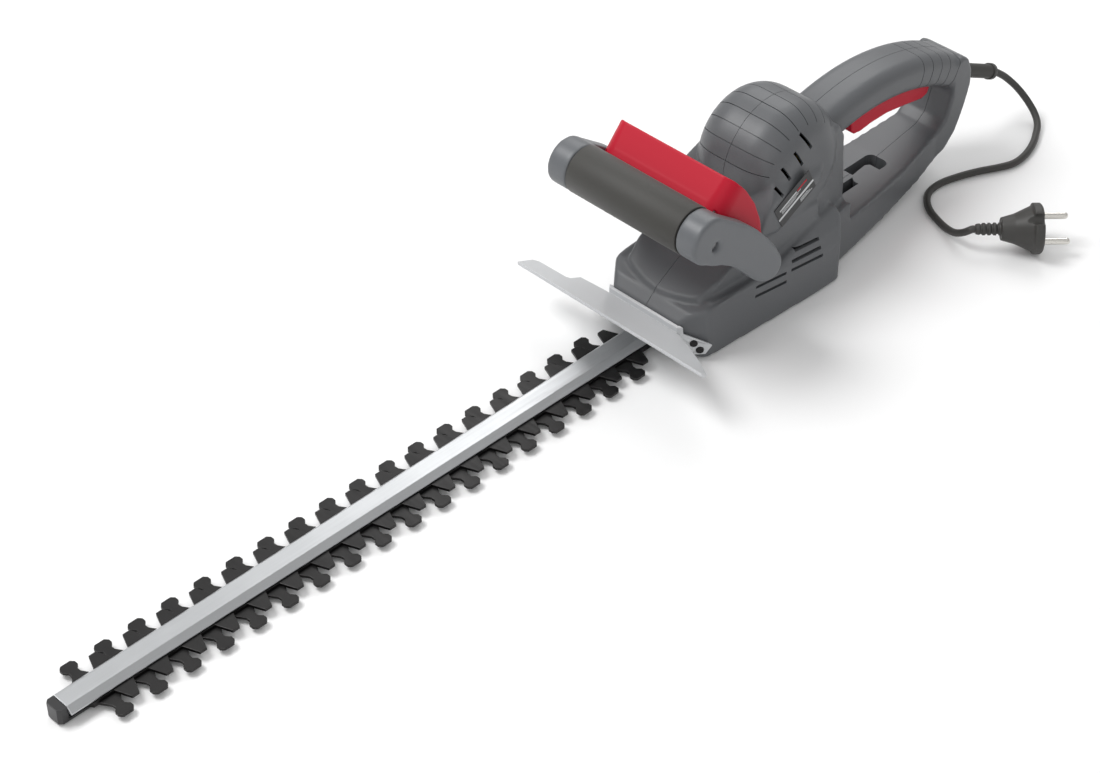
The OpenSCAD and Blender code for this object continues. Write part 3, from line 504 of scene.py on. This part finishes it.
BASE_SIDE = [(-57, 0.2), (79, 0.2), (80, 43.5), (20, 43.5), (-50, 41.5), (-62, 36.5), (-69.3, 29.6), (-69.3, 12)]
POD_SIDE = [(18, 20), (80, 20), (80.5, 50), (76, 56), (58, 53.5), (18, 43.8)]
BASE_PLAN = mirrored([(-69.3, 30), (-53, 43.4), (10, 46.6), (50, 48.8), (72, 48.8), (79, 42)])
BASE_END = [(-48.9, 0.2), (48.9, 0.2), (48.9, 32), (44.5, 44), (36, 60), (-36, 60), (-44.5, 44), (-48.9, 32)]
RAMP_SIDE = [(-62, 30), (60, 30), (60, 69), (-12, 69), (-37, 53.6), (-54, 44.3), (-62, 40)]
RAMP_PLAN = mirrored([(-62, 30), (-40, 36.5), (-10, 38), (60, 38)])
NECK_SIDE = [(-12, 40), (102, 24), (98.5, 60), (97.5, 96), (86, 113), (66, 120), (40, 120), (18, 108), (6, 88), (-12, 68)]
NECK_PLAN = mirrored([(-20, 35), (40, 37.2), (70, 34), (104, 25.5)])
CHEEK_SIDE = [(-8, 71), (16, 66), (37, 76), (58, 87), (65, 101), (68, 116), (66, 122), (50, 127.5), (34, 126), (20, 118), (10, 104), (3, 86)]
CHEEK_PLAN = mirrored([(-20, 37), (-8, 39.7), (72, 39.7)])
UPPER_END = [(-39.8, 20), (39.8, 20), (39.8, 92), (24, 124), (-24, 124), (-39.8, 92)]
TAIL_SIDE = [(60, 0.2), (76, 0.2), (112, 2.6), (150, 6), (190, 11), (222, 20.5), (222, 45.5), (60, 45.5)]
TAIL_PLAN = mirrored([(60, 39.5), (82, 38.5), (99, 36), (137, 31), (179, 25), (222, 19.6)])
DOME_AT = (47.5, 96)
ARCH_AT = (140, -72)


def trimmed_block(name, side, plan, end, rounding):
    f = block(name, (-75, -60, 0), (115, 60, 130))
    trim_outline(f, side, "side")
    trim_outline(f, plan, "plan")
    trim_outline(f, end, "end")
    return round_edges(f, rounding)


def ramp_form():
    f = trimmed_block("ramp", RAMP_SIDE, RAMP_PLAN, UPPER_END, 3.0)
    return combine(f, drum("ramp_front", (18, 0, 50), 78, 25, "z", 160), "INTERSECT")


def dome_form(inset=0.0):
    """A drum across the housing with broad rounded shoulders."""
    f = drum("dome", (DOME_AT[0], 0, DOME_AT[1]), 44.4 - inset, 36.5 - inset, "y", 96)
    m = f.modifiers.new("shoulder", "BEVEL")
    m.width = 25.0 * MM
    m.segments = 10
    m.limit_method = "ANGLE"
    m.angle_limit = radians(60)
    m.use_clamp_overlap = False
    return apply_modifiers(f)


def arch_ring(inset):
    top, high, half, r = 190.0, 25.5, 19.8, 10.0
    ring = []
    for cu, cv, start in ((top - r, half - r, 0), (top - high + r, half - r, 90),
            (top - high + r, -half + r, 180), (top - r, -half + r, 270)):
        for k in range(7):
            a = radians(start + 15 * k)
            ring.append((cu + (r - inset) * cos(a), cv + (r - inset) * sin(a)))
    return ring


def arch_form():
    """The rear handle's upper bar: a rounded section swung through an arc."""
    return spun("arch", ARCH_AT, arch_ring(0.0), -19, 33, 40)


def tail_forms():
    low = block("tail_low", (60, -42, 0.2), (222, 42, 50))
    trim_outline(low, TAIL_SIDE, "side")
    trim_outline(low, TAIL_PLAN, "plan")
    over = block("over_tail", (98, -60, 20), (230, 60, 70))
    trim_outline(over, [(98, 31), (168, 32), (211.6, 39.5), (230, 50), (230, 70), (98, 70)], "side")
    low = round_edges(cut_from(low, over), 4.0)
    post = block("tail_post", (205, -19.6, 15), (246, 19.6, 96))
    trim_outline(post, [(209, 17), (222, 20.5), (233, 32), (241, 50), (245.8, 66), (245.8, 78), (241, 89.5),
        (234, 93.5), (226, 90), (209, 60)], "side")
    gap = block("loop_gap", (150, -30, 38), (226, 30, 84))
    trim_outline(gap, [(150, 38), (211.6, 39.5), (220, 46), (225.5, 63), (226, 84), (150, 84)], "side")
    post = round_edges(cut_from(post, gap), 4.0)
    return [low, post]


def whole_housing():
    parts = [trimmed_block("base", BASE_SIDE, BASE_PLAN, BASE_END, 2.5),
        trimmed_block("pod", POD_SIDE, BASE_PLAN, BASE_END, 2.5),
        ramp_form(), trimmed_block("neck", NECK_SIDE, NECK_PLAN, UPPER_END, 6.0),
        trimmed_block("cheek", CHEEK_SIDE, CHEEK_PLAN, UPPER_END, 2.0), dome_form(), arch_form()] + tail_forms()
    return melt(gather("housing_whole", parts), SKIN_VOXEL, 5)


def turned_block(name, lo, hi, tilt, about):
    c = block(name, lo, hi)
    take(c)
    bpy.ops.object.mode_set(mode="EDIT")
    bpy.ops.mesh.select_all(action="SELECT")
    bpy.ops.transform.rotate(value=-radians(tilt), orient_axis="Y", center_override=[v * MM for v in about])
    bpy.ops.object.mode_set(mode="OBJECT")
    return c


def dome_grooves():
    """Thin lines across the dome, cut to one depth all along its rounded section."""
    slabs = []
    for k in range(9):
        slabs.append(turned_block("groove", (DOME_AT[0] - 0.3, -31, DOME_AT[1] + 20), (DOME_AT[0] + 0.3, 31, DOME_AT[1] + 50),
            -72 + 15.5 * k, (DOME_AT[0], 0, DOME_AT[1])))
    return cut_from(gather("dome_grooves", slabs), dome_form(0.8))


def grip_grooves():
    """Finger lines over the rear end of the handle's upper bar."""
    slabs = []
    for k in range(5):
        slabs.append(turned_block("grip_line", (139.7, -25, 85), (140.3, 25, 125), 15.5 + 3.4 * k, (140, 0, -72)))
    return cut_from(gather("grip_grooves", slabs), spun("grip_core", ARCH_AT, arch_ring(0.6), -19, 40, 44))


def hook_tunnel():
    """The J-shaped slot round the tongue that holds a loop of lead."""
    run = round_edges(block("hook_run", (112, -12, -5), (168, 6, 60)), 5.0, 4, 80)
    tongue = block("hook_tongue", (100, -20, -6), (160, 20, 61))
    trim_outline(tongue, [(134, -20), (150, -20), (157, -12), (157, -3), (154, -1), (138, -2.5), (134, -8)], "plan")
    wall = block("hook_wall", (100, -4, -6), (139, 20, 61))
    run = cut_from(run, tongue)
    return cut_from(run, wall)


def trigger_room():
    room = block("trigger_room", (104, -8.6, 50), (229, 8.6, 118))
    return trim_outline(room, [(114, 60), (219, 60), (219, 95), (206, 100), (134, 112.5), (114, 110)], "side")


def slot_pair(at, length, width, tilt, depth0, depth1):
    made = []
    for s in (-1, 1):
        y0, y1 = sorted((s * depth0, s * depth1))
        made.append(turned_block("slot", (at[0] - length / 2, y0, at[1] - width / 2),
            (at[0] + length / 2, y1, at[1] + width / 2), tilt, (at[0], 0, at[1])))
    return made


def side_openings():
    made = []
    for at, length in (((45.4, 122.4), 15), ((37.2, 112.8), 15), ((25.8, 106.0), 13), ((17.6, 96.5), 9)):
        made += slot_pair(at, length, 2.5, 60, 22, 45)
    for at, length in (((41.5, 44.6), 24), ((39, 38.6), 29), ((38.5, 32.8), 31), ((4, 35.8), 29), ((4, 28.2), 30)):
        made += slot_pair(at, length, 2.3, 5, 34, 55)
    return gather("side_openings", made)


def under_openings():
    """Blade mouth and the room for the base cover."""
    mouth = block("mouth", (-80, -23.5, -5), (-39, 23.5, 15))
    plate = block("plate_room", (-74.5, -46, -5), (76, 46, 4.5))
    trim_outline(plate, mirrored([(-64.3, 26.2), (-50.1, 36.3), (66.3, 36.3)]), "plan")
    return [mouth, plate]


def hollow_core(whole):
    """The room inside the housing: the whole form drawn in by the wall."""
    core = copy_of(whole, "core")
    m = core.modifiers.new("draw_in", "DISPLACE")
    m.direction = "NORMAL"
    m.mid_level = 0.0
    m.strength = -SHELL_WALL * MM
    return melt(apply_modifiers(core), CORE_VOXEL, 1)


def half_shell(hollow, side, name, node):
    h = copy_of(hollow, name)
    y0, y1 = sorted((side * 0.15, side * 70))
    combine(h, block("half_space", (-90, y0, -20), (270, y1, 170)), "INTERSECT")
    smooth_look(h, 32)
    return hand_over(h, "shell_grey", "chassis", node)


def make_shells():
    whole = whole_housing()
    cut_from(whole, hook_tunnel())
    cut_from(whole, trigger_room())
    cut_from(whole, hollow_core(whole))
    for cutter in under_openings() + [side_openings(), grip_grooves(), dome_grooves()]:
        cut_from(whole, cutter)
    for side, name, node in ((-1, "shell_left", "housing_left"), (1, "shell_right", "housing_right")):
        half_shell(whole, side, name, node)
    bpy.data.objects.remove(whole, do_unlink=True)


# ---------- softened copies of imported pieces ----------

def softened(node, name, finish, body, voxel, passes, angle=50):
    """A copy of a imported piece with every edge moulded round."""
    src = CAD[node]
    c = src.copy()
    c.data = src.data.copy()
    c.name = name
    c.parent = None
    c.matrix_world = Matrix.Identity(4)
    bpy.context.scene.collection.objects.link(c)
    take(c)
    bpy.ops.object.mode_set(mode="EDIT")
    bpy.ops.mesh.select_all(action="SELECT")
    bpy.ops.mesh.remove_doubles(threshold=0.00001)
    bpy.ops.object.mode_set(mode="OBJECT")
    melt(c, voxel, passes)
    smooth_look(c, angle)
    return hand_over(c, finish, body, node)


def make_softened():
    softened("handle_arm_left", "arm_left", "handle_grey", "chassis", 0.8, 46)
    softened("handle_arm_right", "arm_right", "handle_grey", "chassis", 0.8, 46)
    softened("front_lever", "squeeze_lever", "lever_red", "lever", 0.6, 8)
    softened("rear_trigger", "trigger", "lever_red", "trigger", 0.7, 5)


def round_cad_edges():
    """Small edge rounds on carried-over nodes, live so that their meshes stay as packed."""
    for node, width in (("blade_guard", 0.5), ("bar_cover", 0.3), ("bar_end_cap", 0.7), ("blade_lower", 0.25),
            ("blade_upper", 0.25), ("handle_sleeve", 0.8), ("cord_bush", 0.5)):
        weld = CAD[node].modifiers.new("weld", "WELD")
        weld.merge_threshold = 0.00001
        m = CAD[node].modifiers.new("edge", "BEVEL")
        m.width = width * MM
        m.segments = 2
        m.limit_method = "ANGLE"
        m.angle_limit = radians(40)


# ---------- rating label ----------

def slanted(name, x0, x1, z0, z1, y_out, y_in, finish):
    """A thin plate on the left cheek; x runs up along the label, z across it, both from its lower front corner."""
    along, across = Vector((34.0, 0, 17.8)).normalized(), Vector((-0.45, 0, 0.893))
    f = block(name, (0, y_out, 0), (1, y_in, 1))
    start = Vector((19, 0, 67.8))
    for v in f.data.vertices:
        u = x1 if v.co.x > 0.0005 else x0
        w = z1 if v.co.z > 0.0005 else z0
        p = start + along * u + across * w
        v.co.x, v.co.z = p.x * MM, p.z * MM
    give(f, finish)
    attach(f, "chassis")
    return f


def make_label():
    plate = slanted("label_plate", 0.5, 37.5, 0.5, 20.0, -40.22, -39.9, "black_plastic")
    round_edges(plate, 0.1, 2)
    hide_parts("rating_label")
    rows = [("label_stripe", 0.5, 37.5, 7.2, 9.0, "label_silver"), ("label_bar", 4, 22, 14.0, 15.2, "label_silver"),
        ("label_mark", 23, 33, 14.0, 15.2, "lever_red")]
    for k in range(3):
        rows.append(("label_line_%d" % k, 5, 20 + 3 * k, 10.6 + 1.1 * k, 11.0 + 1.1 * k, "label_silver"))
        rows.append(("label_foot_%d" % k, 22, 34 - 2 * k, 2.6 + 1.2 * k, 3.1 + 1.2 * k, "label_silver"))
    for name, x0, x1, z0, z1, finish in rows:
        slanted(name, x0, x1, z0, z1, -40.3, -40.15, finish)


# ---------- floor ----------

def make_floor():
    bpy.ops.mesh.primitive_plane_add(size=6.0, location=(0, 0, -0.0004))
    floor = bpy.context.object
    floor.name = "floor"
    m = plastic("floor_paper", (0.86, 0.86, 0.86), (0.9, 0.9, 0.9), 0.7, 40.0, 0.0)
    floor.data.materials.append(m)


make_camera()
light_studio()
finish_cad_nodes()
softened("plug_body", "plug", "cord_rubber", "chassis", 0.5, 3)
make_cord()
make_shells()
make_softened()
round_cad_edges()
make_label()
make_floor()
